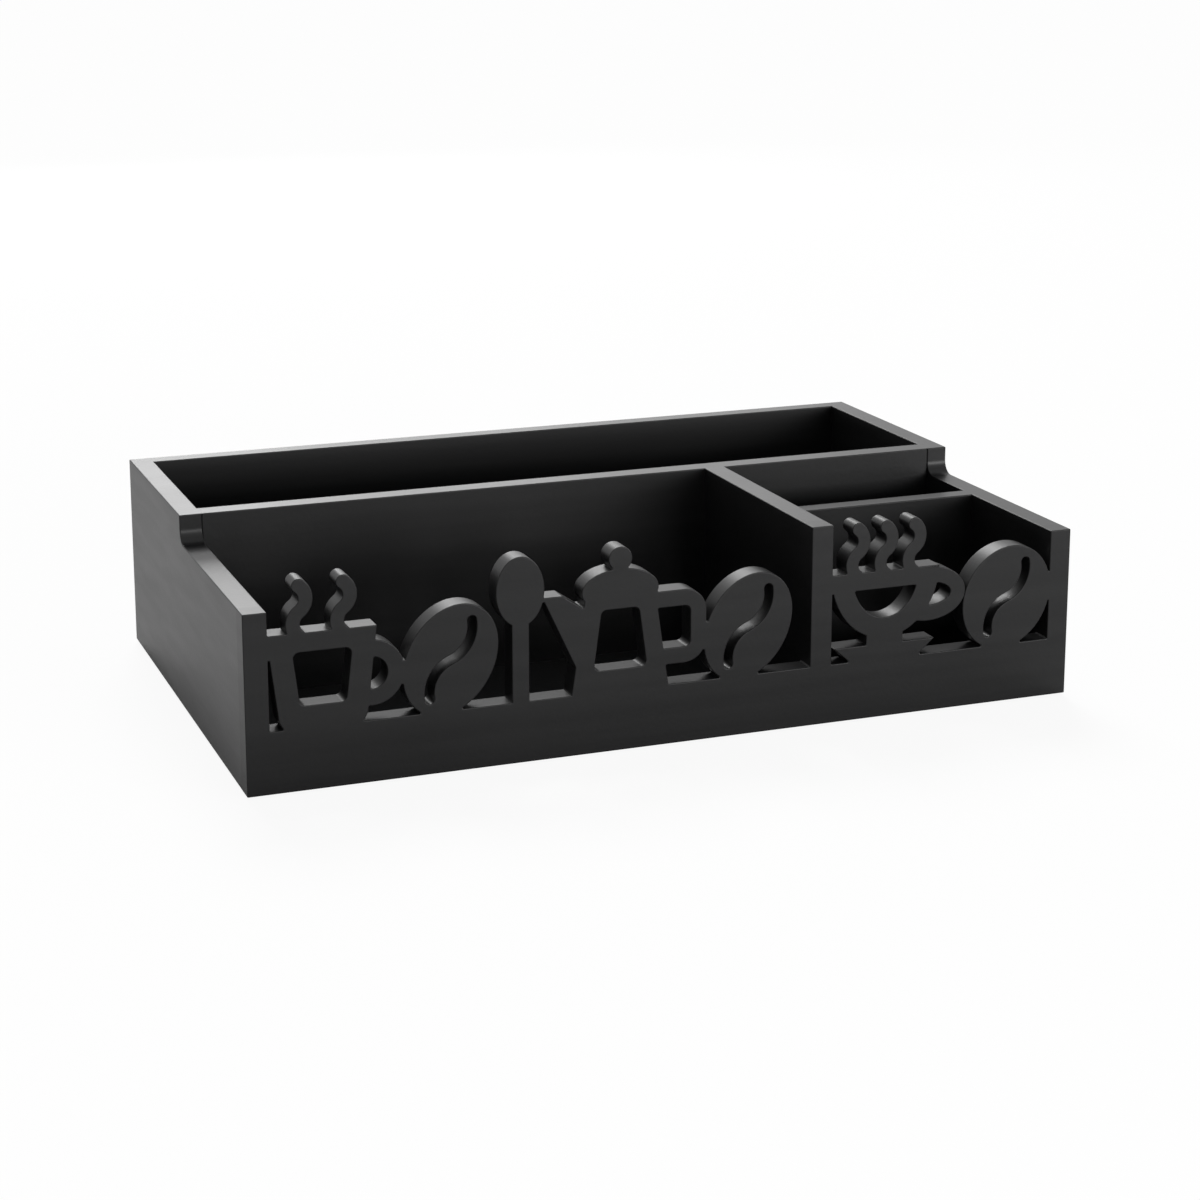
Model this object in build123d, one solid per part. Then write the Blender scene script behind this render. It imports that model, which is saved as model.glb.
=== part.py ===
from build123d import *
import math
import os

# Overall size of the organizer, in millimetres
width = 300.0
depth = 185.0
back_height = 71.0
step_height = 10.0

# Board thicknesses
side_thickness = 8.0
front_thickness = 8.0
back_thickness = 7.0
divider_thickness = 8.0
partition_thickness = 8.0
short_divider_thickness = 7.0
base_thickness = 3.0

# Clear sizes of the compartments that the dividers set
back_pocket_depth = 76.5
right_pocket_width = 85.5
small_pocket_depth = 29.0

# Rounded inner corner of the step in each side board
step_radius = 5.0
step_radius_limit_share = 0.9

# Seat of the base board, cut round the lower inner edge of the four outer boards
rebate_width = 4.0
base_clearance = 0.2

# Hidden dowels: the face hole goes this share into a board's thickness
dowel_diameter = 4.0
dowel_length = 20.0
slim_dowel_diameter = 3.0
slim_dowel_length = 16.0
dowel_clearance = 0.05
dowel_end_gap = 0.5
face_hole_share = 0.6
dowel_level_shares = (0.22, 0.75)

# Panel pins that hold the base board from below
pin_diameter = 1.2
pin_length = 10.0
pin_head_diameter = 2.4
pin_head_thickness = 0.6
pin_point_length = 1.5
pin_point_share = 0.15
pin_clearance = 0.05
pin_pitch = 65.0
pin_end_margin = 14.0

# Foot pads
pad_diameter = 12.0
pad_thickness = 1.0
pad_inset = 14.0

# Openwork of the front board
rail_height = 21.2
bean_height = 36.0
run_gap = 7.5
motif_root = 1.5
motif_overlap = 0.8
motif_rim = 6.5
motif_floor = 7.5
motif_corner = 6.0
window_corner = 2.0
corner_limit_share = 0.4
ear_stroke = 5.8
wisp_stroke = 4.8
crease_width = 3.2
crease_bend = 2.6
stem_width = 6.0
spout_stroke = 7.0
lid_overhang = 1.4
knob_radius = 4.2
knob_neck = 5.0

# Cells of the motifs, as shares of the run of openwork that holds them
left_cell_shares = {"mug": 0.245, "bean": 0.175, "spoon": 0.088, "pot": 0.317, "last_bean": 0.175}
right_cell_shares = {"cup": 0.6, "bean": 0.4}

# Mug and cup, as shares of their cells and of the height of the openwork
mug_body_share = 0.8
mug_base_share = 0.78
mug_height_share = 0.64
mug_window_share = 0.54
mug_wisp_shares = (-0.2, 0.2)
wisp_bend_share = 0.26
ear_height_share = 0.7
cup_body_share = 0.8
cup_rim_share = 0.64
cup_foot_share = 0.34
cup_bottom_share = 0.15
cup_window_share = 0.62
cup_ear_root_share = 0.1
saucer_height_share = 0.11
saucer_top_share = 0.94
saucer_base_share = 0.56
cup_ear_share = 0.68
cup_ear_height_share = 0.62
cup_wisp_shares = (-0.26, 0.0, 0.26)

# Bean, spoon and pot, as shares of their cells and of the height of the openwork
bean_tilt = 30.0
crease_reach_share = 0.74
spoon_bowl_share = 0.48
pot_spout_share = 0.17
pot_body_share = 0.6
pot_top_share = 0.7
pot_height_share = 0.7
pot_lid_share = 0.15
pot_window_share = 0.54
pot_spout_low_share = 0.28
pot_spout_high_share = 0.6
pot_ear_low_share = 0.14
pot_ear_high_share = 0.66

# Planes of the boards, worked out from the sizes above
half_width = width / 2
half_depth = depth / 2
board_bottom = pad_thickness
base_top = board_bottom + base_thickness
high_top = board_bottom + back_height
low_top = high_top - step_height
rail_top = board_bottom + rail_height
inner_right = half_width - side_thickness
inner_left = -inner_right
inner_front = front_thickness - half_depth
inner_back = half_depth - back_thickness
divider_back = inner_back - back_pocket_depth
divider_front = divider_back - divider_thickness
divider_middle = (divider_back + divider_front) / 2
partition_right = inner_right - right_pocket_width
partition_left = partition_right - partition_thickness
partition_middle = (partition_left + partition_right) / 2
short_back = divider_front - small_pocket_depth
short_front = short_back - short_divider_thickness
short_middle = (short_back + short_front) / 2
side_middle = half_width - side_thickness / 2
openwork_height = high_top - rail_top


def block(low, high):
    """A box between its lowest and its highest corner."""
    sizes = [top - bottom for bottom, top in zip(low, high)]
    return Pos(*low) * Box(*sizes, align=(Align.MIN, Align.MIN, Align.MIN))


def rod(start, direction, length, diameter):
    """A round rod that runs from a start point along a direction."""
    plane = Plane(origin=start, z_dir=direction)
    return plane * Cylinder(diameter / 2, length, align=(Align.CENTER, Align.CENTER, Align.MIN))


def levels(bottom, top):
    """Heights of the two dowels in a joint between a bottom and a top."""
    return [bottom + share * (top - bottom) for share in dowel_level_shares]


def spread(first, last, pitch):
    """Evenly spaced places from first to last, about one pitch apart."""
    steps = max(1, round((last - first) / pitch))
    return [first + (last - first) * step / steps for step in range(steps + 1)]


# Each joint is a list of dowel spots: the mouth on the joint plane, the direction
# into the board that is entered through its face, and that board's thickness
def corner_joint(joint_plane, towards, thickness, top):
    """Dowels that hold one end board to both side boards."""
    return [
        (Vector(x, joint_plane, z), Vector(0, towards, 0), thickness)
        for x in (-side_middle, side_middle)
        for z in levels(board_bottom, top)
    ]


def divider_joint():
    """Dowels from the side boards into both ends of the middle divider."""
    return [
        (Vector(x, divider_middle, z), Vector(towards, 0, 0), side_thickness)
        for x, towards in ((inner_left, -1), (inner_right, 1))
        for z in levels(base_top, high_top)
    ]


def partition_joint():
    """Dowels from the middle divider and the front board into the centre partition."""
    ends = ((divider_front, 1, divider_thickness), (inner_front, -1, front_thickness))
    return [
        (Vector(partition_middle, y, z), Vector(0, towards, 0), thickness)
        for y, towards, thickness in ends
        for z in levels(base_top, high_top)
    ]


def short_divider_joint():
    """Dowels from the partition and the right side board into the short divider."""
    ends = ((partition_right, -1, partition_thickness), (inner_right, 1, side_thickness))
    return [
        (Vector(x, short_middle, z), Vector(towards, 0, 0), thickness)
        for x, towards, thickness in ends
        for z in levels(base_top, low_top)
    ]


def dowels(joint, diameter, length):
    """The dowels of a joint, each a separate solid."""
    rods = []
    for mouth, towards, thickness in joint:
        start = mouth + towards * (thickness * face_hole_share)
        rods.append(rod(start, -towards, length, diameter))
    return rods


def dowel_holes(joint, diameter, length):
    """The holes of the same dowels, wider and longer by the named clearances."""
    holes = []
    for mouth, towards, thickness in joint:
        start = mouth + towards * (thickness * face_hole_share + dowel_end_gap)
        hole_length = length + 2 * dowel_end_gap
        holes.append(rod(start, -towards, hole_length, diameter + 2 * dowel_clearance))
    return holes


front_joint = corner_joint(inner_front, -1, front_thickness, low_top)
back_joint = corner_joint(inner_back, 1, back_thickness, high_top)
front_holes = dowel_holes(front_joint, dowel_diameter, dowel_length)
back_holes = dowel_holes(back_joint, dowel_diameter, dowel_length)
divider_holes = dowel_holes(divider_joint(), dowel_diameter, dowel_length)
partition_holes = dowel_holes(partition_joint(), dowel_diameter, dowel_length)
short_holes = dowel_holes(short_divider_joint(), slim_dowel_diameter, slim_dowel_length)


def pin_spots():
    """Places of the panel pins, round the base board's edge and under the dividers."""
    edge_x = inner_right + rebate_width / 2
    front_y = inner_front - rebate_width / 2
    back_y = inner_back + rebate_width / 2
    left_x = inner_left + pin_end_margin
    right_x = inner_right - pin_end_margin
    spots = []
    for x in spread(left_x, right_x, pin_pitch):
        spots += [(x, front_y), (x, back_y), (x, divider_middle)]
    for y in spread(inner_front + pin_end_margin, inner_back - pin_end_margin, pin_pitch):
        spots += [(-edge_x, y), (edge_x, y)]
    for y in spread(inner_front + pin_end_margin, divider_front - pin_end_margin, pin_pitch):
        spots.append((partition_middle, y))
    for x in spread(partition_right + pin_end_margin, inner_right - pin_end_margin, pin_pitch):
        spots.append((x, short_middle))
    return spots


def panel_pin(x, y):
    """One pin: a flat head flush with the base board, a shank and a point."""
    up = (0, 0, 1)
    shank_length = pin_length - pin_point_length
    head = rod((x, y, board_bottom), up, pin_head_thickness, pin_head_diameter)
    shank = rod((x, y, board_bottom), up, shank_length, pin_diameter)
    point = Pos(x, y, board_bottom + shank_length) * Cone(
        pin_diameter / 2,
        pin_diameter / 2 * pin_point_share,
        pin_point_length,
        align=(Align.CENTER, Align.CENTER, Align.MIN),
    )
    return head + shank + point


def pin_hole(x, y):
    """The hole of one pin, with room for its head in the base board."""
    up = (0, 0, 1)
    head_room = pin_head_thickness + pin_clearance
    head = rod((x, y, board_bottom), up, head_room, pin_head_diameter + 2 * pin_clearance)
    shank = rod((x, y, board_bottom), up, pin_length + pin_clearance, pin_diameter + 2 * pin_clearance)
    return head + shank


pin_holes = [pin_hole(x, y) for x, y in pin_spots()]


def base_seat():
    """The room that the base board needs in the lower edges of the outer boards."""
    reach_x = inner_right + rebate_width
    low = (-reach_x, inner_front - rebate_width, board_bottom)
    high = (reach_x, inner_back + rebate_width, base_top)
    return block(low, high)


def base_board():
    """The thin floor, let into the rebates and flush with the boards below."""
    reach_x = inner_right + rebate_width - base_clearance
    low = (-reach_x, inner_front - rebate_width + base_clearance, board_bottom)
    high = (reach_x, inner_back + rebate_width - base_clearance, base_top)
    return block(low, high) - pin_holes


def step_profile():
    """Side board outline, seen from the side: high at the back, rounded step, low in front."""
    outline = Polygon(
        (inner_front, board_bottom),
        (inner_back, board_bottom),
        (inner_back, high_top),
        (divider_front, high_top),
        (divider_front, low_top),
        (inner_front, low_top),
    )
    inner_corner = outline.vertices().sort_by_distance((divider_front, low_top))[0]
    radius = min(step_radius, step_radius_limit_share * step_height)
    return fillet(inner_corner, radius)


def side_panel(outer_x, inner_x):
    """One side board, from its outer face to its inner face."""
    side_plane = Plane(origin=(outer_x, 0, 0), x_dir=(0, 1, 0), z_dir=(1, 0, 0))
    board = extrude(side_plane * step_profile(), amount=inner_x - outer_x)
    return board - base_seat() - front_holes - back_holes - divider_holes - pin_holes


def back_panel():
    """The back board, over the ends of both side boards."""
    low = (-half_width, inner_back, board_bottom)
    high = (half_width, half_depth, high_top)
    return block(low, high) - base_seat() - back_holes - pin_holes


def middle_divider():
    """The high board between the side boards, in front of the back compartment."""
    low = (inner_left, divider_front, base_top)
    high = (inner_right, divider_back, high_top)
    return block(low, high) - divider_holes - partition_holes - pin_holes


def centre_partition():
    """The high board from the middle divider to the front board."""
    low = (partition_left, inner_front, base_top)
    high = (partition_right, divider_front, high_top)
    return block(low, high) - partition_holes - short_holes - pin_holes


def short_divider():
    """The low board that parts the two compartments on the right."""
    low = (partition_right, short_front, base_top)
    high = (inner_right, short_back, low_top)
    return block(low, high) - short_holes - pin_holes


def flat(left, bottom, right, top):
    """A flat rectangle between two corners."""
    return Pos(left, bottom) * Rectangle(right - left, top - bottom, align=(Align.MIN, Align.MIN))


def tapered(middle, bottom, top, bottom_width, top_width):
    """A flat panel that narrows or widens upwards."""
    return Polygon(
        (middle - bottom_width / 2, bottom),
        (middle + bottom_width / 2, bottom),
        (middle + top_width / 2, top),
        (middle - top_width / 2, top),
    )


def rounded(outline, corners, radius):
    """An outline with the named corners rounded, no more than its own size allows."""
    box = outline.bounding_box()
    limit = corner_limit_share * min(box.size.X, box.size.Y)
    return fillet(corners, min(radius, limit))


def window_in(middle, bottom, top, bottom_width, top_width):
    """A tapered window with all its corners rounded."""
    outline = tapered(middle, bottom, top, bottom_width, top_width)
    return rounded(outline, outline.vertices(), window_corner)


def ring_ear(side_x, middle_z, reach, height):
    """An ear beside a body: its outer shape and the finger hole in it."""
    outer = Pos(side_x, middle_z) * Ellipse(reach, height / 2)
    hole = Pos(side_x, middle_z) * Ellipse(reach - ear_stroke, height / 2 - ear_stroke)
    return outer, hole


def wisp(x, bottom, top):
    """A strand of steam: two arcs that bend to opposite sides."""
    end = top - wisp_stroke / 2
    waist = (bottom + end) / 2
    bend = wisp_bend_share * (waist - bottom)
    lower = SagittaArc((x, bottom), (x, waist), bend)
    upper = SagittaArc((x, waist), (x, end), -bend)
    return SlotArc(lower, wisp_stroke) + SlotArc(upper, wisp_stroke)


def mug(cell):
    """A mug with an ear on its right and two strands of steam, in a cell of this width."""
    body_width = cell * mug_body_share
    base_width = body_width * mug_base_share
    middle = (body_width - cell) / 2
    top = openwork_height * mug_height_share
    body = tapered(middle, -motif_root, top, base_width, body_width)
    body = rounded(body, body.vertices().sort_by(Axis.Y)[:2], motif_corner)
    side_x = middle + (body_width + base_width) / 4
    outer, hole = ring_ear(side_x, top / 2, cell / 2 - side_x, top * ear_height_share)
    window_base = base_width * mug_window_share
    window_width = body_width * mug_window_share
    window = window_in(middle, motif_floor, top - motif_rim, window_base, window_width)
    shape = body + outer - (hole - body) - window
    for share in mug_wisp_shares:
        shape += wisp(middle + share * body_width, top - motif_root, openwork_height)
    return shape


def cup(cell):
    """A round cup on a saucer, with an ear on its right and three strands of steam."""
    body_width = cell * cup_body_share
    middle = (body_width - cell) / 2
    rim = openwork_height * cup_rim_share
    bottom = openwork_height * cup_bottom_share
    saucer_top = openwork_height * saucer_height_share
    body_radius = body_width / 2
    below_rim = flat(-cell, bottom, cell, rim)
    bowl = Pos(middle, rim) * Ellipse(body_radius, rim - bottom) & below_rim
    below_window = flat(-cell, bottom, cell, rim - motif_rim)
    inner_radius = body_radius * cup_window_share
    inner = Pos(middle, rim) * Ellipse(inner_radius, rim - bottom - motif_floor)
    window = inner & below_window
    foot_width = body_width * cup_foot_share
    foot = flat(middle - foot_width / 2, -motif_root, middle + foot_width / 2, bottom + motif_root)
    saucer_base = body_width * saucer_base_share
    saucer_width = body_width * saucer_top_share
    saucer = tapered(middle, -motif_root, saucer_top, saucer_base, saucer_width)
    side_x = middle + body_radius - body_width * cup_ear_root_share
    ear_height = rim * cup_ear_height_share
    outer, hole = ring_ear(side_x, rim * cup_ear_share, cell / 2 - side_x, ear_height)
    shape = bowl + outer - (hole - bowl) + foot + saucer - window
    for share in cup_wisp_shares:
        shape += wisp(middle + share * body_width, rim - motif_root, openwork_height)
    return shape


def bean(cell):
    """A coffee bean with a curved crease: a leaning ellipse as wide as its cell."""
    cosine = math.cos(math.radians(bean_tilt))
    sine = math.sin(math.radians(bean_tilt))
    half_cell = cell / 2
    rise = (bean_height + motif_root) / 2
    narrowing = cosine ** 2 - sine ** 2
    long_radius = math.sqrt(((rise * cosine) ** 2 - (half_cell * sine) ** 2) / narrowing)
    short_radius = math.sqrt(((half_cell * cosine) ** 2 - (rise * sine) ** 2) / narrowing)
    reach = long_radius * crease_reach_share
    first = SagittaArc((0, -reach), (0, 0), crease_bend)
    second = SagittaArc((0, 0), (0, reach), -crease_bend)
    crease = SlotArc(first, crease_width) + SlotArc(second, crease_width)
    upright = Ellipse(short_radius, long_radius) - crease
    return Pos(0, rise - motif_root) * Rot(0, 0, -bean_tilt) * upright


def spoon(cell):
    """A spoon standing on its stem."""
    bowl_radius = openwork_height * spoon_bowl_share / 2
    bowl = Pos(0, openwork_height - bowl_radius) * Ellipse(cell / 2, bowl_radius)
    stem = flat(-stem_width / 2, -motif_root, stem_width / 2, openwork_height - bowl_radius)
    return bowl + stem


def pot(cell):
    """A tall pot with a lid and a knob, a spout on its left and an ear on its right."""
    body_width = cell * pot_body_share
    top_width = body_width * pot_top_share
    left = -cell / 2
    middle = left + cell * pot_spout_share + body_width / 2
    top = openwork_height * pot_height_share
    body = tapered(middle, -motif_root, top, body_width, top_width)
    lid_height = openwork_height * pot_lid_share
    lid = Pos(middle, top) * Ellipse(top_width / 2 + lid_overhang, lid_height)
    knob_middle = openwork_height - knob_radius
    knob = Pos(middle, knob_middle) * Circle(knob_radius)
    neck = flat(middle - knob_neck / 2, top, middle + knob_neck / 2, knob_middle)
    spout_low = top * pot_spout_low_share
    side_at_low = middle - body_width / 2 + (body_width - top_width) / 2 * pot_spout_low_share
    spout = Polygon(
        (middle, spout_low),
        (middle, top * pot_spout_high_share),
        (left + spout_stroke, top),
        (left, top),
        (side_at_low, spout_low),
    )
    ear_low = openwork_height * pot_ear_low_share
    ear_high = openwork_height * pot_ear_high_share
    ear_width = cell / 2 - middle
    ear_middle = middle + ear_width / 2
    ear = tapered(ear_middle, ear_low, ear_high, ear_width, ear_width)
    ear = rounded(ear, ear.vertices(), motif_corner + window_corner)
    hole_width = ear_width - 2 * ear_stroke
    hole = window_in(ear_middle, ear_low + ear_stroke, ear_high - ear_stroke, hole_width, hole_width)
    window_base = body_width * pot_window_share
    window_top = top_width * pot_window_share
    window = window_in(middle, motif_floor, top - motif_rim, window_base, window_top)
    return body + lid + neck + knob + spout + ear - (hole - body) - window


def run_of_motifs(start, length, cell_shares, makers):
    """Motifs side by side on the rail, each a little over its neighbours."""
    shapes = []
    left = start
    for name, maker in makers.items():
        cell = length * cell_shares[name]
        shapes.append(Pos(left + cell / 2, rail_top) * maker(cell + motif_overlap))
        left += cell
    return shapes


def front_outline():
    """The front board seen from the front: rail, posts, upright and openwork."""
    outline = flat(-half_width, board_bottom, half_width, rail_top)
    outline += flat(-half_width, board_bottom, inner_left, low_top)
    outline += flat(inner_right, board_bottom, half_width, low_top)
    outline += flat(partition_left, board_bottom, partition_right, high_top)
    left_makers = {"mug": mug, "bean": bean, "spoon": spoon, "pot": pot, "last_bean": bean}
    left_length = partition_left - run_gap - inner_left
    for shape in run_of_motifs(inner_left, left_length, left_cell_shares, left_makers):
        outline += shape
    right_makers = {"cup": cup, "bean": bean}
    right_length = inner_right - partition_right
    for shape in run_of_motifs(partition_right, right_length, right_cell_shares, right_makers):
        outline += shape
    return outline


def front_panel():
    """The front board, over the ends of both side boards, with its openwork cut through."""
    front_plane = Plane(origin=(0, inner_front, 0), x_dir=(1, 0, 0), z_dir=(0, -1, 0))
    board = extrude(front_plane * front_outline(), amount=front_thickness)
    return board - base_seat() - front_holes - partition_holes - pin_holes


def foot_pads():
    """Four thin round pads under the corners."""
    x = half_width - pad_inset
    y = half_depth - pad_inset
    spots = ((-x, -y), (x, -y), (-x, y), (x, y))
    return [rod((x, y, 0), (0, 0, 1), pad_thickness, pad_diameter) for x, y in spots]


def write_node(name, shape):
    """Writes one node, one solid or a group of separate solids, to its file."""
    solids = shape if isinstance(shape, list) else [shape]
    whole = Compound(children=[solid for piece in solids for solid in piece.solids()])
    if len(whole.solids()) == 1:
        whole = whole.solids()[0]
    whole.label = name
    export_step(whole, os.path.join("parts", name + ".step"))


def main():
    os.makedirs("parts", exist_ok=True)
    write_node("left_side_panel", side_panel(-half_width, inner_left))
    write_node("right_side_panel", side_panel(half_width, inner_right) - short_holes)
    write_node("back_panel", back_panel())
    write_node("front_panel", front_panel())
    write_node("middle_divider", middle_divider())
    write_node("centre_partition", centre_partition())
    write_node("short_divider", short_divider())
    write_node("base_board", base_board())
    write_node("front_corner_dowels", dowels(front_joint, dowel_diameter, dowel_length))
    write_node("back_corner_dowels", dowels(back_joint, dowel_diameter, dowel_length))
    write_node("middle_divider_dowels", dowels(divider_joint(), dowel_diameter, dowel_length))
    write_node("centre_partition_dowels", dowels(partition_joint(), dowel_diameter, dowel_length))
    short_dowels = dowels(short_divider_joint(), slim_dowel_diameter, slim_dowel_length)
    write_node("short_divider_dowels", short_dowels)
    write_node("base_board_pins", [panel_pin(x, y) for x, y in pin_spots()])
    write_node("foot_pads", foot_pads())


main()
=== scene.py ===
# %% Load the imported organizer
from math import atan2, cos, pi, radians, tan

import bmesh
import bpy
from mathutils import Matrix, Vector


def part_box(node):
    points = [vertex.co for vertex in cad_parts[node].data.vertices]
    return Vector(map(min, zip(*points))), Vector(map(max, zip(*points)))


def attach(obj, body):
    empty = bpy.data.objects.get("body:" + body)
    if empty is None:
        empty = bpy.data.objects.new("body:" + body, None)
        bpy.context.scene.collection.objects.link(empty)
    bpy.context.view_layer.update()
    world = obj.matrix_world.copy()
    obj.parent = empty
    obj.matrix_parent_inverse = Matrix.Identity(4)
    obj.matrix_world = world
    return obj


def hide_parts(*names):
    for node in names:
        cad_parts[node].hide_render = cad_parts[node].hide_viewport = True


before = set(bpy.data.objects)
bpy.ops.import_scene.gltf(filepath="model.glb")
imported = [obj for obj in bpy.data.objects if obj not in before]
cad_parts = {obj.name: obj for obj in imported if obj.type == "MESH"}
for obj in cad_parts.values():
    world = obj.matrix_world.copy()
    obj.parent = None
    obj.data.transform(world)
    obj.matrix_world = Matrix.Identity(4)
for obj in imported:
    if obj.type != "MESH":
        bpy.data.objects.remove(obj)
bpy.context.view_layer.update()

print("nodes in the frame:", len(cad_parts))

# %% [markdown]
# # A painted organizer for a coffee station
#
# The real object is a shallow box of fibreboard, glued up from eight boards and sprayed satin
# black. Almost everything that makes it look real is in three things: the light that slides over
# the paint, the tiny rounding that sanding leaves on each free edge, and the openwork that is
# sawn from the front board. This lesson takes them in turn.
#
# ## The camera
#
# The picture is taken from the front left, a little above the rims, with a long lens, so that
# the long edges hardly converge. The object sits above the middle of the picture, and a lens
# shift does that without tilting the camera, which would make the upright edges lean.

# %% Camera
CAMERA_PLACE = (-0.3218, -0.8608, 0.2945)
CAMERA_DOWN = radians(12.6)
CAMERA_TURN = radians(-20.9)
SENSOR_WIDTH = 36.0
LENS = 77.235
LENS_SHIFT = (-0.0018, -0.138)
NEAREST, FARTHEST = 0.01, 50.0

camera_data = bpy.data.cameras.new("camera")
camera_data.sensor_fit = "HORIZONTAL"
camera_data.sensor_width = SENSOR_WIDTH
camera_data.lens = LENS
camera_data.shift_x, camera_data.shift_y = LENS_SHIFT
camera_data.clip_start, camera_data.clip_end = NEAREST, FARTHEST
camera = bpy.data.objects.new("camera", camera_data)
camera.location = CAMERA_PLACE
camera.rotation_euler = (pi / 2 - CAMERA_DOWN, 0.0, CAMERA_TURN)
bpy.context.scene.collection.objects.link(camera)
bpy.context.scene.camera = camera
bpy.context.scene.view_settings.view_transform = "Standard"
print("camera distance from the object in m:", round(camera.location.length, 3))

# %% [markdown]
# ## Helpers for shader trees
#
# Each finish below is a small tree of nodes. Three helpers keep the cells short: one adds a
# node and sets its values, one links an output to an input, and one starts a material with an
# empty tree.

# %% Shader helpers
def add_node(tree, kind, **values):
    """A new node of that kind, with its properties and input values set by name."""
    node = tree.nodes.new(kind)
    for name, value in values.items():
        label = name.replace("_", " ")
        if hasattr(node, name):
            setattr(node, name, value)
        else:
            node.inputs[label].default_value = value
    return node


def link(tree, source, target):
    """A link between two sockets, each given as (node, name or number of the socket)."""
    tree.links.new(source[0].outputs[source[1]], target[0].inputs[target[1]])


def start_material(name):
    """A material with an empty tree and its output node."""
    material = bpy.data.materials.new(name)
    material.use_nodes = True
    material.node_tree.nodes.clear()
    output = material.node_tree.nodes.new("ShaderNodeOutputMaterial")
    return material, material.node_tree, output


def seen_directly(tree):
    """A node that gives 1 to rays from the camera, a gloss or a glass, and the node of all rays."""
    path = add_node(tree, "ShaderNodeLightPath")
    camera_or_gloss = add_node(tree, "ShaderNodeMath", operation="MAXIMUM")
    or_glass = add_node(tree, "ShaderNodeMath", operation="MAXIMUM")
    link(tree, (path, "Is Camera Ray"), (camera_or_gloss, 0))
    link(tree, (path, "Is Glossy Ray"), (camera_or_gloss, 1))
    link(tree, (camera_or_gloss, 0), (or_glass, 0))
    link(tree, (path, "Is Transmission Ray"), (or_glass, 1))
    return or_glass, path


print("shader helpers ready")

# %% [markdown]
# ## The white surround and the floor
#
# The picture has a white ground that runs on without an end. The world is white for the rays
# that look at it and for the paint's reflections, and dim as a lamp, so that the inside of the
# box can go black. The floor glows almost white for the camera alone. What is left of it takes
# the lamps' light like paper does, so that the paint mirrors a floor with the object's shadow
# on it, and the camera still sees a faint soft shadow that sets the object down.

# %% World and floor
WORLD_LIGHT = 0.25
FLOOR_REACH = 6.0
CAMERA_GLOW = 0.92
GLOSS_GLOW = 0.0
WHITE = (1.0, 1.0, 1.0, 1.0)

world = bpy.data.worlds.new("white_surround")
world.use_nodes = True
tree = world.node_tree
tree.nodes.clear()
surround = add_node(tree, "ShaderNodeBackground", Color=WHITE)
world_output = add_node(tree, "ShaderNodeOutputWorld")
strength = add_node(tree, "ShaderNodeMapRange")
strength.inputs["To Min"].default_value = WORLD_LIGHT
strength.inputs["To Max"].default_value = 1.0
link(tree, (seen_directly(tree)[0], 0), (strength, "Value"))
link(tree, (strength, 0), (surround, "Strength"))
link(tree, (surround, 0), (world_output, "Surface"))
bpy.context.scene.world = world

floor_paint, tree, output = start_material("white_floor")
seen, path = seen_directly(tree)
gloss_share = add_node(tree, "ShaderNodeMath", operation="MULTIPLY")
gloss_share.inputs[1].default_value = GLOSS_GLOW
glow_share = add_node(tree, "ShaderNodeMath", operation="MULTIPLY_ADD")
glow_share.inputs[1].default_value = CAMERA_GLOW - GLOSS_GLOW
lit_share = add_node(tree, "ShaderNodeMath", operation="SUBTRACT")
lit_share.inputs[0].default_value = 1.0
matt = add_node(tree, "ShaderNodeBsdfDiffuse")
glow = add_node(tree, "ShaderNodeEmission")
both = add_node(tree, "ShaderNodeAddShader")
link(tree, (seen, 0), (gloss_share, 0))
link(tree, (path, "Is Camera Ray"), (glow_share, 0))
link(tree, (gloss_share, 0), (glow_share, 2))
link(tree, (glow_share, 0), (glow, "Strength"))
link(tree, (glow_share, 0), (lit_share, 1))
link(tree, (lit_share, 0), (matt, "Color"))
link(tree, (matt, 0), (both, 0))
link(tree, (glow, 0), (both, 1))
link(tree, (both, 0), (output, "Surface"))

bm = bmesh.new()
bmesh.ops.create_grid(bm, x_segments=1, y_segments=1, size=FLOOR_REACH)
floor_mesh = bpy.data.meshes.new("floor")
bm.to_mesh(floor_mesh)
bm.free()
floor_mesh.materials.append(floor_paint)
floor = bpy.data.objects.new("floor", floor_mesh)
bpy.context.scene.collection.objects.link(floor)
print("floor reaches", FLOOR_REACH, "m each way")

# %% [markdown]
# ## Lamps
#
# Black paint shows its shape only by what it mirrors. Three soft boxes stand in a row low behind
# the object and get weaker to the right. The flat rims throw them at the camera, so the rims are
# pale on the left and sink to grey on the right. A long one far out in front fills the faces that
# look forward. A broad light high behind throws the object's shadow forward, so the rail mirrors
# a dark strip of floor, and no ray of it reaches the walls that face the camera.

# %% Lamps
RIM_LIGHTS = ((0.1, 1.75), (0.4, 0.95), (0.7, 0.4))
RIM_LIGHT_BEHIND, RIM_LIGHT_HEIGHT = 1.6, 0.48
RIM_LIGHT_SIZE = (0.32, 0.5)
RIM_LIGHT_AIM = (0.0, 0.0, 0.06)
FRONT_LIGHT_PLACE = (1.35, -2.6, 0.4)
FRONT_LIGHT_SIZE = (2.4, 0.6)
FRONT_LIGHT_AIM = (0.0, 0.0, 0.04)
FRONT_LIGHT_POWER = 62.0
HIGH_LIGHT_FROM = (0.1, 0.7, 0.7)
HIGH_LIGHT_STRENGTH = 2.35
HIGH_LIGHT_SPREAD = radians(28.0)


def soft_box(name, place, aim, size, power):
    """An area lamp of that size in metres, at place, turned to aim, and not seen itself."""
    lamp = bpy.data.lights.new(name, "AREA")
    lamp.shape = "RECTANGLE"
    lamp.size, lamp.size_y = size
    lamp.energy = power
    holder = bpy.data.objects.new(name, lamp)
    holder.location = place
    holder.rotation_euler = (Vector(place) - Vector(aim)).to_track_quat("Z", "Y").to_euler()
    holder.visible_camera = False
    bpy.context.scene.collection.objects.link(holder)
    return holder


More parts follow.
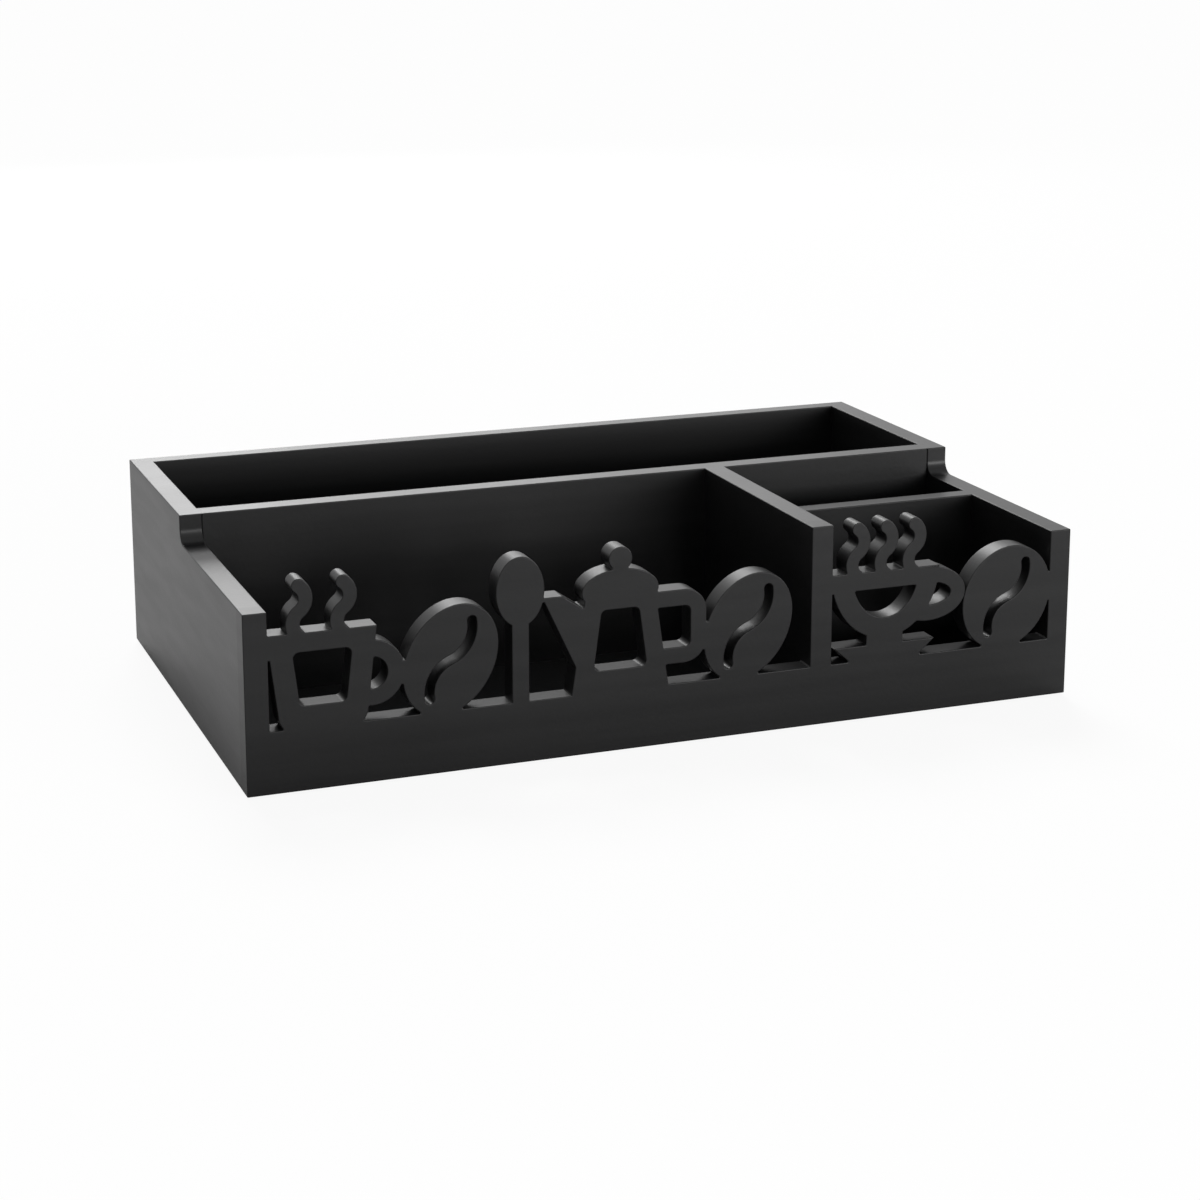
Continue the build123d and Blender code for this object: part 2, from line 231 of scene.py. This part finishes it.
for number, (along, power) in enumerate(RIM_LIGHTS, start=1):
    rim_place = (along, RIM_LIGHT_BEHIND, RIM_LIGHT_HEIGHT)
    soft_box(f"rim_light_{number}", rim_place, RIM_LIGHT_AIM, RIM_LIGHT_SIZE, power)
soft_box("front_light", FRONT_LIGHT_PLACE, FRONT_LIGHT_AIM, FRONT_LIGHT_SIZE, FRONT_LIGHT_POWER)

high = bpy.data.lights.new("high_light", "SUN")
high.energy = HIGH_LIGHT_STRENGTH
high.angle = HIGH_LIGHT_SPREAD
high_holder = bpy.data.objects.new("high_light", high)
high_holder.rotation_euler = Vector(HIGH_LIGHT_FROM).to_track_quat("Z", "Y").to_euler()
bpy.context.scene.collection.objects.link(high_holder)
print("lamps:", len(bpy.data.lights))

# %% [markdown]
# ## Satin black paint
#
# The boards are sprayed, so the paint has no brush marks. Close up it has a very fine skin like
# an orange's, which breaks the reflections, and its gloss drifts a little along the length of a
# board, where the gun passed. Sawn edges drink more paint and dry a little duller.
# A film of paint mirrors less than glass, so its index of refraction is set low on the shader.

# %% Satin black paint
FILM_IOR = 1.31
GUN_PASSES = (5.0, 24.0, 160.0)
DRIFT_BAND = (0.3, 0.7)
SAWN_DULLER = 0.03
SKIN_SCALE = 700.0
SKIN_STRENGTH = 0.12
SKIN_HEIGHT = 0.0002
BLACK = ((0.0055, 0.0055, 0.0058), (0.0075, 0.0075, 0.0078))
BLACK_GLOSS = (0.33, 0.37)


def satin_paint(name, colours, gloss_range):
    """Sprayed paint: colour and roughness drift along X, with a fine skin as bump."""
    material, tree, output = start_material(name)
    place = add_node(tree, "ShaderNodeTexCoord")
    paint = add_node(tree, "ShaderNodeBsdfPrincipled", IOR=FILM_IOR)

    passes = add_node(tree, "ShaderNodeMapping")
    passes.inputs["Scale"].default_value = GUN_PASSES
    drift = add_node(tree, "ShaderNodeTexNoise", Scale=1.0, Detail=3.0, Roughness=0.55)
    shade = add_node(tree, "ShaderNodeValToRGB")
    for stop, place_on_ramp, colour in zip(shade.color_ramp.elements, DRIFT_BAND, colours):
        stop.position = place_on_ramp
        stop.color = (*colour, 1.0)
    gloss = add_node(tree, "ShaderNodeMapRange")
    gloss.inputs["From Min"].default_value, gloss.inputs["From Max"].default_value = DRIFT_BAND
    gloss.inputs["To Min"].default_value, gloss.inputs["To Max"].default_value = gloss_range
    link(tree, (place, "Object"), (passes, "Vector"))
    link(tree, (passes, 0), (drift, "Vector"))
    link(tree, (drift, 0), (shade, 0))
    link(tree, (drift, 0), (gloss, "Value"))
    link(tree, (shade, 0), (paint, "Base Color"))

    sawn = add_node(tree, "ShaderNodeAttribute", attribute_name="sawn")
    duller = add_node(tree, "ShaderNodeMath", operation="MULTIPLY_ADD")
    duller.inputs[1].default_value = SAWN_DULLER
    link(tree, (sawn, "Fac"), (duller, 0))
    link(tree, (gloss, 0), (duller, 2))
    link(tree, (duller, 0), (paint, "Roughness"))

    skin = add_node(tree, "ShaderNodeTexNoise", Scale=SKIN_SCALE, Detail=2.0, Roughness=0.5)
    bump = add_node(tree, "ShaderNodeBump", Strength=SKIN_STRENGTH, Distance=SKIN_HEIGHT)
    link(tree, (place, "Object"), (skin, "Vector"))
    link(tree, (skin, 0), (bump, "Height"))
    link(tree, (bump, 0), (paint, "Normal"))
    link(tree, (paint, 0), (output, "Surface"))
    return material


black_paint = satin_paint("satin_black_paint", BLACK, BLACK_GLOSS)
print("paint nodes:", len(black_paint.node_tree.nodes))

# %% [markdown]
# ## From a solid to a sanded board
#
# The frame's boards have the right size but razor edges, and no real board has those. Each
# visible board starts as a copy of its solid. The copy is loose triangles, so its doubles are
# merged and its flat parts are dissolved to large faces, which a bevel needs.
#
# Only free edges get sanded. Where two boards are glued flush, the joint is filled and painted
# over, and an eased edge there would draw a groove that the real one doesn't have. So an edge is
# left sharp where it touches another board, and long edges are first cut where the other board
# begins. More cuts just past that point and just beside the joint keep the place where a rounding
# runs out as small as a grain of sand, so that the rims run into each other without a seam.

# %% Which edges are free
BOARDS = ["left_side_panel", "right_side_panel", "back_panel", "front_panel",
          "middle_divider", "centre_partition", "short_divider", "base_board"]
TOUCH = 0.0003
MERGE = 0.00003
FLAT = radians(0.8)
SHARP = radians(30.0)
EASE = 0.0004
EASE_STEPS = 3
BESIDE = (1.5 * EASE, -2.0 * EASE)

board_boxes = {name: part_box(name) for name in BOARDS}


def in_box(point, box, slack=TOUCH):
    """Whether the point is in the box or within the slack of it."""
    return all(box[0][i] - slack <= point[i] <= box[1][i] + slack for i in range(3))


def neighbours(board):
    """The boxes of the other boards that touch this one."""
    low, high = board_boxes[board]
    found = {}
    for name, (other_low, other_high) in board_boxes.items():
        gaps = [max(low[i] - other_high[i], other_low[i] - high[i]) for i in range(3)]
        if name != board and max(gaps) < TOUCH:
            found[name] = (other_low, other_high)
    return found


def cut_planes(board, beside=()):
    """Upright planes where another board begins or ends on this one, and those steps beside it."""
    low, high = board_boxes[board]
    planes = set()
    for name, box in neighbours(board).items():
        for axis in (0, 1):
            for corner, inward in zip(box, (1, -1)):
                crossed = low[axis] + TOUCH < corner[axis] < high[axis] - TOUCH
                for step in (0.0, *beside):
                    place = round(corner[axis] + inward * step, 5)
                    wanted = name != "base_board" and (crossed or step < 0.0)
                    if wanted and low[axis] + TOUCH < place < high[axis] - TOUCH:
                        planes.add((axis, place))
    return sorted(planes)


for board in BOARDS:
    print(board, "touches", len(neighbours(board)), "boards, which begin or end at", cut_planes(board))

# %% [markdown]
# The paint shows the smallest error in a normal, so the normals aren't left to an average. A
# corner of a flat face takes the normal of that face, joined only with neighbours that are nearly
# level with it, as along a curved saw cut. A corner of a rounding takes the normal of the flat
# face beside it, if there is one. So the light turns on the rounding alone, and the flats stay
# flat right up to it.

# %% Copy and sand
ROUND_REACH = radians(50.0)
CUT_SLACK = 0.000002


def merged_copy(node):
    """A bmesh of the solid's triangles with its doubles merged and flat parts dissolved."""
    bm = bmesh.new()
    bm.from_mesh(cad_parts[node].data)
    bmesh.ops.remove_doubles(bm, verts=bm.verts, dist=MERGE)
    bmesh.ops.dissolve_limit(bm, angle_limit=FLAT, verts=bm.verts, edges=bm.edges)
    return bm


def cut(bm, axis, value):
    """An edge loop where the plane at value on that axis crosses the mesh, marked as a seam."""
    at, normal = Vector(), Vector()
    at[axis], normal[axis] = value, 1.0
    everything = bm.verts[:] + bm.edges[:] + bm.faces[:]
    made = bmesh.ops.bisect_plane(bm, geom=everything, dist=CUT_SLACK, plane_co=at, plane_no=normal)
    for part in made["geom_cut"]:
        if isinstance(part, bmesh.types.BMEdge):
            part.seam = True


def drop_slanting_edges(bm):
    """Only the cuts stay on flat sides, so that no slanting edge runs into a rounding."""
    bmesh.ops.dissolve_limit(bm, angle_limit=FLAT, verts=bm.verts, edges=bm.edges, delimit={"SEAM"})


def free_edges(bm, board, seam=None):
    """The convex, sharp edges that touch no other board, and those of an open seam."""
    around = neighbours(board).values()
    chosen = []
    for edge in bm.edges:
        if not edge.is_manifold or not edge.is_convex or edge.calc_face_angle() < SHARP:
            continue
        middle = (edge.verts[0].co + edge.verts[1].co) / 2
        touching = any(in_box(middle, box) for box in around)
        if not touching or (seam and seam(middle)):
            chosen.append(edge)
    return chosen


def ease(bm, edges, offset=EASE):
    """A small rounding along those edges, whose faces get the mark "rounded"."""
    mark = bm.faces.layers.int.get("rounded") or bm.faces.layers.int.new("rounded")
    made = bmesh.ops.bevel(bm, geom=edges, offset=offset, offset_type="OFFSET", affect="EDGES",
                           segments=EASE_STEPS, profile=0.5, material=-1, clamp_overlap=False)
    for face in made["faces"]:
        face[mark] = 1


def corner_normals(bm):
    """A normal for each corner of each face, in the mesh's order."""
    mark = bm.faces.layers.int.get("rounded")
    rounded = {face for face in bm.faces if mark and face[mark]}
    normals = []
    for face in bm.faces:
        limit = ROUND_REACH if face in rounded else SHARP
        for vert in face.verts:
            near = [other for other in vert.link_faces if other.normal.angle(face.normal, pi) < limit]
            flat = [other for other in near if other not in rounded] or near
            total = Vector()
            for other in flat:
                total += other.normal * other.calc_area()
            normals.append(total.normalized())
    return normals


def make_piece(bm, name, node, material):
    """The bmesh as an object that rides on the body, stands for the node and has its finish."""
    bm.normal_update()
    for face in bm.faces:
        face.smooth = True
    normals = corner_normals(bm)
    mesh = bpy.data.meshes.new(name)
    bm.to_mesh(mesh)
    bm.free()
    mesh.normals_split_custom_set(normals)
    mesh.materials.append(material)
    piece = bpy.data.objects.new(name, mesh)
    bpy.context.scene.collection.objects.link(piece)
    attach(piece, "root")
    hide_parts(node)
    return piece


def open_edges(bm):
    """How many edges of a mesh aren't shared by exactly two faces."""
    return sum(1 for edge in bm.edges if not edge.is_manifold)


print("eased by", EASE * 1000, "mm")

# %% [markdown]
# ## The plain boards
#
# Four outer boards and three dividers. The middle divider and the side boards' steps come
# flush at the front, and there the joint does show as a thin dark line, from the rim down to
# the rounded inner corner. So those edges are eased too, though they touch.

# %% Sand the plain boards
divider_low, divider_high = board_boxes["middle_divider"]
STEP_FRONT = divider_low.y
LOW_RIM = board_boxes["short_divider"][1].z


def step_seam(middle):
    """Whether a point is on the upright joint between a step and the middle divider."""
    on_front = abs(middle.y - STEP_FRONT) < TOUCH
    at_end = min(abs(middle.x - divider_low.x), abs(middle.x - divider_high.x)) < TOUCH
    upright = LOW_RIM < middle.z < divider_high.z - TOUCH
    return on_front and at_end and upright


plain_boards = {
    "left_side_panel": "left_side_board",
    "right_side_panel": "right_side_board",
    "back_panel": "back_board",
    "middle_divider": "middle_divider_board",
    "centre_partition": "partition_board",
    "short_divider": "short_divider_board",
}
for node, name in plain_boards.items():
    bm = merged_copy(node)
    for axis, value in cut_planes(node, BESIDE):
        cut(bm, axis, value)
    if node == "middle_divider":
        cut(bm, 2, LOW_RIM)
        cut(bm, 2, LOW_RIM - BESIDE[0])
    drop_slanting_edges(bm)
    edges = free_edges(bm, node, step_seam)
    ease(bm, edges)
    left_open = open_edges(bm)
    piece = make_piece(bm, name, node, black_paint)
    print(name, "eased edges", len(edges), "faces", len(piece.data.polygons), "open", left_open)

# %% [markdown]
# ## The openwork front board
#
# The front is one board: a plain rail below, a post at each end, an upright in front of the
# partition, and a row of café shapes sawn from the same piece, joined to the rail and to each
# other. The saw leaves walls square to the face, and sanding rounds both rims of every cut.
#
# A bevel along so winding a rim fails in two places. In a very sharp notch the two offset lines
# would meet far away, so each notch first gets a narrow blunt end, as paint fills it on the real
# one. And where long thin faces touch the rim, the bevel would cross them, so both flat sides
# get a narrow ring of even faces along every cut, with a fresh filling inside it. These steps
# work on hairline distances, so the mesh is scaled to millimetres for them.

# %% Blunt notches and even rims
MM = 1000.0
STEEP = radians(60.0)
ALONG_Y = 0.999
NOTCH = 0.3
NOTCH_ROOM = 0.9
RIM_RING = 0.6
RIM_EASE = 0.35
PLANE_SLACK = 0.005
SLIVER = 0.18

front_low, front_high = board_boxes["front_panel"]


def rescale(bm, factor):
    """The mesh larger or smaller about the origin."""
    bmesh.ops.scale(bm, vec=(factor, factor, factor), verts=bm.verts)


def blunt_notches(bm):
    """A narrow blunt end on each inner corner of the saw cuts, as wide as its edges allow."""
    corners = []
    for edge in bm.edges:
        run = (edge.verts[0].co - edge.verts[1].co).normalized()
        if edge.is_manifold and not edge.is_convex and abs(run.y) > ALONG_Y:
            if edge.calc_face_angle() > STEEP:
                corners.append(edge)
    for edge in corners:
        opening = pi - edge.calc_face_angle()
        outline = [other for vert in edge.verts for other in vert.link_edges
                   if other is not edge and other.is_manifold and other.calc_face_angle() > SHARP]
        room = NOTCH_ROOM * min(other.calc_length() for other in outline)
        bmesh.ops.bevel(bm, geom=[edge], offset=min(NOTCH / tan(opening / 2), room),
                        offset_type="OFFSET", affect="EDGES", segments=1, profile=0.5, material=-1)
    return len(corners)


def ring_and_refill(bm, level):
    """A ring of even faces along every cut in the flat side at that level, and a new middle."""
    side = [face for face in bm.faces
            if all(abs(vert.co.y - level) < PLANE_SLACK for vert in face.verts)]
    outward = side[0].normal.copy()
    bmesh.ops.inset_region(bm, faces=side, thickness=RIM_RING, depth=0.0, use_even_offset=True,
                           use_boundary=True)
    middle = set(side)
    border = [edge for edge in bm.edges if sum(1 for face in edge.link_faces if face in middle) == 1]
    bmesh.ops.delete(bm, geom=side, context="FACES_KEEP_BOUNDARY")
    filled = bmesh.ops.triangle_fill(bm, use_beauty=True, use_dissolve=False, edges=border,
                                     normal=outward)
    return len(filled["geom"])


bm = merged_copy("front_panel")
rescale(bm, MM)
bmesh.ops.remove_doubles(bm, verts=bm.verts, dist=SLIVER)
print("blunted notches:", blunt_notches(bm))
for level in (MM * front_low.y, MM * front_high.y):
    print("refilled the side at", round(level, 1), "mm with", ring_and_refill(bm, level), "parts")

# %% [markdown]
# The rims can be rounded now. The sawn walls carry a mark, "sawn", which the paint reads to dry
# a little duller there.

# %% Sand the front board
rescale(bm, 1.0 / MM)
for axis, value in cut_planes("front_panel"):
    cut(bm, axis, value)
sawn = bm.faces.layers.float.new("sawn")
for face in bm.faces:
    face[sawn] = 1.0 if abs(face.normal.y) < 0.5 else 0.0
edges = free_edges(bm, "front_panel")
rescale(bm, MM)
ease(bm, edges, RIM_EASE)
rescale(bm, 1.0 / MM)
left_open = open_edges(bm)
front_board = make_piece(bm, "openwork_front_board", "front_panel", black_paint)
print("front board: eased edges", len(edges), "faces", len(front_board.data.polygons), "open", left_open)

# %% [markdown]
# ## Beech, wire and rubber
#
# Three more finishes are needed, for what the paint doesn't cover. Each one is a stretched noise
# that drives colour, roughness and a slight relief together, because on real wood, wire and
# rubber the marks that one sees and the marks that one feels are the same. Beech has fine pores
# along the grain, so the noise is drawn out along the dowel. Drawn wire has hair-thin lines along
# its length. A pad is matt, with an even fine tooth.

# %% Grained finishes
GRAIN_BAND = (0.35, 0.65)
GRAIN_STRENGTH = 0.3
BEECH = ((0.50, 0.30, 0.16), (0.68, 0.46, 0.28))
BEECH_GLOSS, BEECH_RELIEF = (0.75, 0.5), 0.00008
WIRE = ((0.42, 0.42, 0.43), (0.6, 0.6, 0.61))
WIRE_GLOSS, WIRE_RELIEF = (0.42, 0.2), 0.00002
RUBBER = ((0.012, 0.012, 0.012), (0.022, 0.022, 0.022))
RUBBER_GLOSS, RUBBER_RELIEF = (0.92, 0.78), 0.00006


def grained(name, scale, colours, gloss_range, relief, metal=0.0):
    """A finish whose colour, roughness and relief follow one noise with that scale on each axis."""
    material, tree, output = start_material(name)
    place = add_node(tree, "ShaderNodeTexCoord")
    stretch = add_node(tree, "ShaderNodeMapping")
    stretch.inputs["Scale"].default_value = scale
    noise = add_node(tree, "ShaderNodeTexNoise", Scale=1.0, Detail=4.0, Roughness=0.6)
    shade = add_node(tree, "ShaderNodeValToRGB")
    for stop, place_on_ramp, colour in zip(shade.color_ramp.elements, GRAIN_BAND, colours):
        stop.position = place_on_ramp
        stop.color = (*colour, 1.0)
    gloss = add_node(tree, "ShaderNodeMapRange")
    gloss.inputs["To Min"].default_value, gloss.inputs["To Max"].default_value = gloss_range
    bump = add_node(tree, "ShaderNodeBump", Strength=GRAIN_STRENGTH, Distance=relief)
    surface = add_node(tree, "ShaderNodeBsdfPrincipled", Metallic=metal)
    link(tree, (place, "Object"), (stretch, "Vector"))
    link(tree, (stretch, 0), (noise, "Vector"))
    link(tree, (noise, 0), (shade, 0))
    link(tree, (noise, 0), (gloss, "Value"))
    link(tree, (noise, 0), (bump, "Height"))
    link(tree, (shade, 0), (surface, "Base Color"))
    link(tree, (gloss, 0), (surface, "Roughness"))
    link(tree, (bump, 0), (surface, "Normal"))
    link(tree, (surface, 0), (output, "Surface"))
    return material


beech_along_x = grained("beech_along_x", (120.0, 2200.0, 2200.0), BEECH, BEECH_GLOSS, BEECH_RELIEF)
beech_along_y = grained("beech_along_y", (2200.0, 120.0, 2200.0), BEECH, BEECH_GLOSS, BEECH_RELIEF)
bright_wire = grained("bright_wire", (2600.0, 2600.0, 160.0), WIRE, WIRE_GLOSS, WIRE_RELIEF, metal=1.0)
pad_rubber = grained("pad_rubber", (1800.0, 1800.0, 1800.0), RUBBER, RUBBER_GLOSS, RUBBER_RELIEF)
print("finishes:", len(bpy.data.materials))

# %% [markdown]
# ## The hidden dowels
#
# The joints are held by beech dowels, out of sight unless someone takes the box apart. A real
# one isn't a plain rod: it has pressed flutes, through which the glue escapes, and chamfered ends
# that find the hole. The frame's solids give the places. Each box of a solid gets a rod of the
# same size, whose rims are bevelled and whose surface is then drawn in along the flutes.

# %% Dowels
FLUTES = 12
FLUTE_STEPS = 6
FLUTE_DEPTH = 0.00014
DOWEL_CHAMFER = 0.0006


def solids_in(node):
    """The boxes of a node's separate solids, as (low, high) in metres."""
    bm = merged_copy(node)
    left, boxes = set(bm.verts), []
    while left:
        waiting, found = [left.pop()], []
        while waiting:
            vert = waiting.pop()
            found.append(vert.co.copy())
            for edge in vert.link_edges:
                other = edge.other_vert(vert)
                if other in left:
                    left.discard(other)
                    waiting.append(other)
        boxes.append([Vector([pick(co[i] for co in found) for i in range(3)]) for pick in (min, max)])
    bm.free()
    return sorted(boxes, key=lambda box: tuple(box[0]))


def rod_in(bm, low, high, axis, steps):
    """A rod that fills the box along that axis; its vertices, centre and radius."""
    sides = high - low
    radius = max(sides[i] for i in range(3) if i != axis) / 2
    run = Vector()
    run[axis] = 1.0
    centre = (low + high) / 2
    turn = run.to_track_quat("Z", "Y").to_matrix().to_4x4()
    turn.translation = centre
    made = bmesh.ops.create_cone(bm, cap_ends=True, segments=steps, radius1=radius, radius2=radius,
                                 depth=sides[axis], matrix=turn)
    return made["verts"], centre, radius


def flute(verts, centre, radius, axis):
    """Shallow waves along the rod: a vertex on the full radius moves in by up to the flutes' depth."""
    across = [i for i in range(3) if i != axis]
    for vert in verts:
        away = vert.co - centre
        away[axis] = 0.0
        if away.length > radius - DOWEL_CHAMFER / 2:
            angle = atan2(away[across[1]], away[across[0]])
            vert.co -= away.normalized() * FLUTE_DEPTH * (1.0 - cos(FLUTES * angle)) / 2


dowel_groups = {
    "front_corner_dowels": beech_along_y,
    "back_corner_dowels": beech_along_y,
    "middle_divider_dowels": beech_along_x,
    "centre_partition_dowels": beech_along_y,
    "short_divider_dowels": beech_along_x,
}
for node, wood in dowel_groups.items():
    bm = bmesh.new()
    boxes = solids_in(node)
    for low, high in boxes:
        axis = max(range(3), key=lambda i: high[i] - low[i])
        verts, centre, radius = rod_in(bm, low, high, axis, FLUTES * FLUTE_STEPS)
        rod = set(verts)
        ends = [edge for edge in bm.edges if edge.verts[0] in rod and edge.calc_face_angle() > STEEP]
        made = bmesh.ops.bevel(bm, geom=ends, offset=DOWEL_CHAMFER, offset_type="OFFSET", affect="EDGES",
                               segments=1, profile=0.5, material=-1)
        flute({vert for face in made["faces"] for vert in face.verts}, centre, radius, axis)
    left_open = open_edges(bm)
    piece = make_piece(bm, "fluted_" + node, node, wood)
    print(piece.name, "solids", len(boxes), "faces", len(piece.data.polygons), "open", left_open)

# %% [markdown]
# ## The underside
#
# The base board sits in its rebate, and every edge of it is covered, so the solid itself stays
# and only gets the paint. Its pins are bright wire, with their flat heads flush in the board. The
# four pads are soft, so their lower rims are round, and that makes them look stuck on.

# %% Base board, pins and pads
PAD_STEPS = 64
PAD_EASE = 0.00035


def finish_node(node, material):
    """The solid itself, with this material."""
    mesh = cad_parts[node].data
    mesh.materials.clear()
    mesh.materials.append(material)
    print(node, "gets", material.name)


finish_node("base_board", black_paint)
finish_node("base_board_pins", bright_wire)

bm = bmesh.new()
pads = solids_in("foot_pads")
for low, high in pads:
    verts, centre, radius = rod_in(bm, low, high, 2, PAD_STEPS)
    lower = {vert for vert in verts if vert.co.z < centre.z}
    rim = [edge for edge in bm.edges if all(vert in lower for vert in edge.verts)]
    ease(bm, rim, PAD_EASE)
left_open = open_edges(bm)
pad_piece = make_piece(bm, "rubber_pads", "foot_pads", pad_rubber)
print("pads:", len(pads), "faces", len(pad_piece.data.polygons), "open", left_open)
